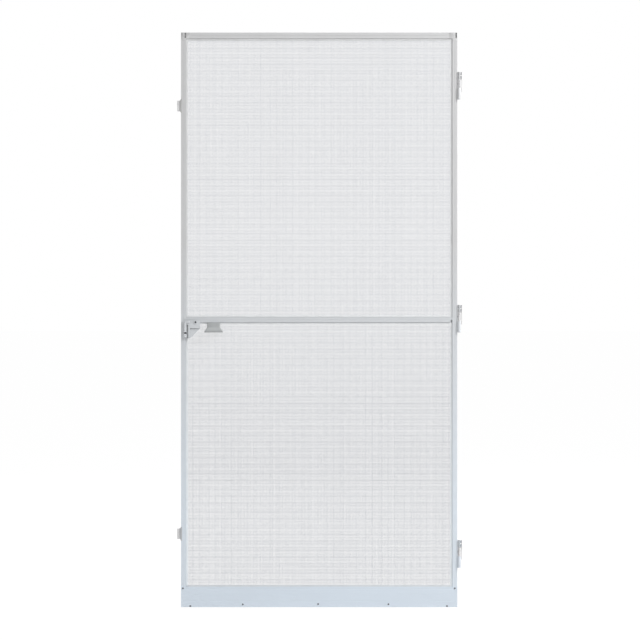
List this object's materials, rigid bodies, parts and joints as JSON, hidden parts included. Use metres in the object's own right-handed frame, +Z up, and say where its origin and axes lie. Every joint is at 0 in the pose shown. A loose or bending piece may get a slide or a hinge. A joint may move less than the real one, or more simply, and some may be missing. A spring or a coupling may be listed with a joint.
{
  "type": "insect screen door",
  "caption": "Hinged insect screen door: slim aluminium frame with a middle rail, mesh panels, kick plate, pull, sprung hinges and magnetic catches.",
  "frame": {"origin": "centre of the wall face of the middle hinge's jamb leaf", "axes": "+X across the door from the catch side to the hinge side, +Y from the front to the back, +Z up"},
  "size_m": [1.0415, 0.044, 2.1],
  "materials": {
    "frame_paint": "satin pale grey powder coat",
    "corner_plastic": "fine satin moulded grey",
    "mesh_fibre": "coated glass fibre yarn, plain open weave",
    "spline_rubber": "matt ribbed grey",
    "kick_metal": "satin pale grey with fine pressed lines",
    "seal_rubber": "matt dark grey",
    "screw_steel": "dark zinc",
    "bracket_plastic": "satin moulded grey",
    "handle_plastic": "satin moulded mid grey",
    "hinge_metal": "satin grey cast",
    "pin_steel": "drawn steel",
    "spring_steel": "drawn spring wire",
    "catch_steel": "satin grey",
    "magnet_plastic": "satin moulded grey"
  },
  "bodies": {
    "jamb_side": {"hinge_upper_jamb_leaf": "hinge_metal", "hinge_upper_pin": "pin_steel", "hinge_upper_spring": "spring_steel", "hinge_middle_jamb_leaf": "hinge_metal", "hinge_middle_pin": "pin_steel", "hinge_middle_spring": "spring_steel", "hinge_lower_jamb_leaf": "hinge_metal", "hinge_lower_pin": "pin_steel", "hinge_lower_spring": "spring_steel", "catch_upper_magnet": "magnet_plastic", "catch_lower_magnet": "magnet_plastic"},
    "leaf": {"stile_left": "frame_paint", "stile_right": "frame_paint", "top_rail": "frame_paint", "mid_rail": "frame_paint", "bottom_rail": "frame_paint", "corner_top_left": "corner_plastic", "corner_top_right": "corner_plastic", "corner_bottom_left": "corner_plastic", "corner_bottom_right": "corner_plastic", "mesh_upper": "mesh_fibre", "mesh_lower": "mesh_fibre", "spline_upper": "spline_rubber", "spline_lower": "spline_rubber", "kick_plate": "kick_metal", "kick_seal": "seal_rubber", "kick_screws": "screw_steel", "bracket": "bracket_plastic", "bracket_screws": "screw_steel", "handle": "handle_plastic", "hinge_upper_door_leaf": "hinge_metal", "hinge_upper_screws": "screw_steel", "hinge_middle_door_leaf": "hinge_metal", "hinge_middle_screws": "screw_steel", "hinge_lower_door_leaf": "hinge_metal", "hinge_lower_screws": "screw_steel", "catch_upper_plate": "catch_steel", "catch_lower_plate": "catch_steel"}
  },
  "joints": [
    {"name": "leaf_swing", "type": "hinge", "parent": "jamb_side", "child": "leaf", "pos_m": [-0.0111, -0.011, 0], "axis": [0, 0, 1], "range_deg": [0, 110], "stiffness_Nm_per_rad": 0.5}
  ]
}
